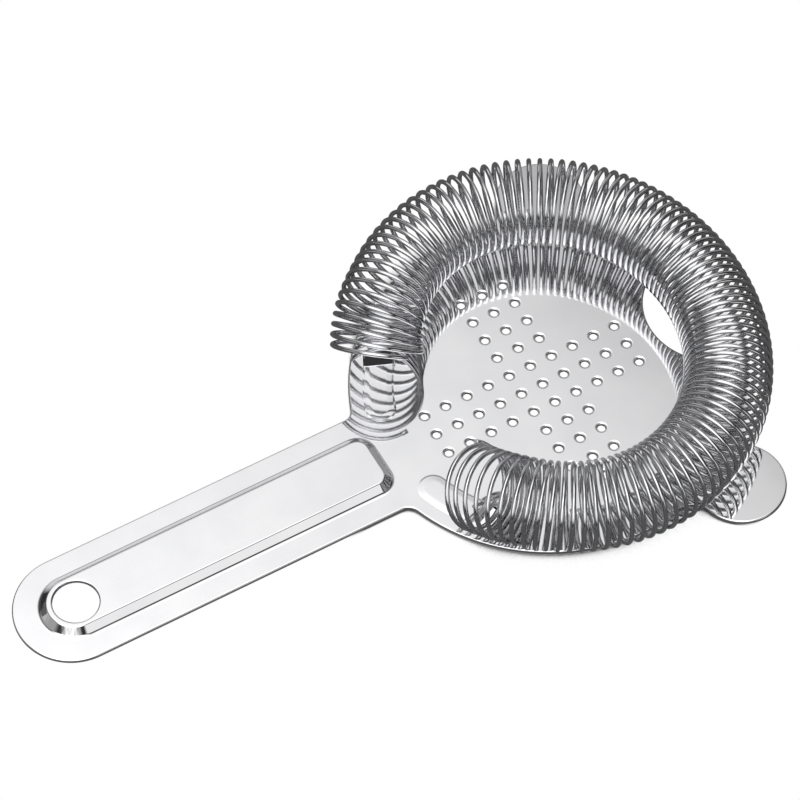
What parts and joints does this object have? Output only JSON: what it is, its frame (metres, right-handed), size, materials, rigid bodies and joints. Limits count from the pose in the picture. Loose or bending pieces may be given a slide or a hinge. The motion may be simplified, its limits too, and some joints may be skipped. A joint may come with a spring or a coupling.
{
  "type": "hawthorne strainer",
  "caption": "Flat perforated strainer disc with two rest ears, a ribbed handle with a hanging hole, and a coil spring ring held on bent tabs.",
  "frame": {"origin": "centre of the object's box at its base, under the plate", "axes": "+X from the handle's end towards the front of the disc, +Y to the left when looking along +X, +Z from the plate towards the spring"},
  "size_m": [0.1664, 0.0986, 0.0195],
  "materials": {
    "polished_steel": "polished",
    "spring_wire": "polished"
  },
  "bodies": {
    "plate": {"strainer_plate": "polished_steel"},
    "spring": {"coil_spring": "spring_wire"}
  },
  "joints": [
    {"name": "spring_squeeze", "type": "slide", "parent": "plate", "child": "spring", "axis": [-1, 0, 0], "range_m": [0, 0.005], "stiffness_N_per_m": 60, "deforming": ["coil_spring"]}
  ]
}
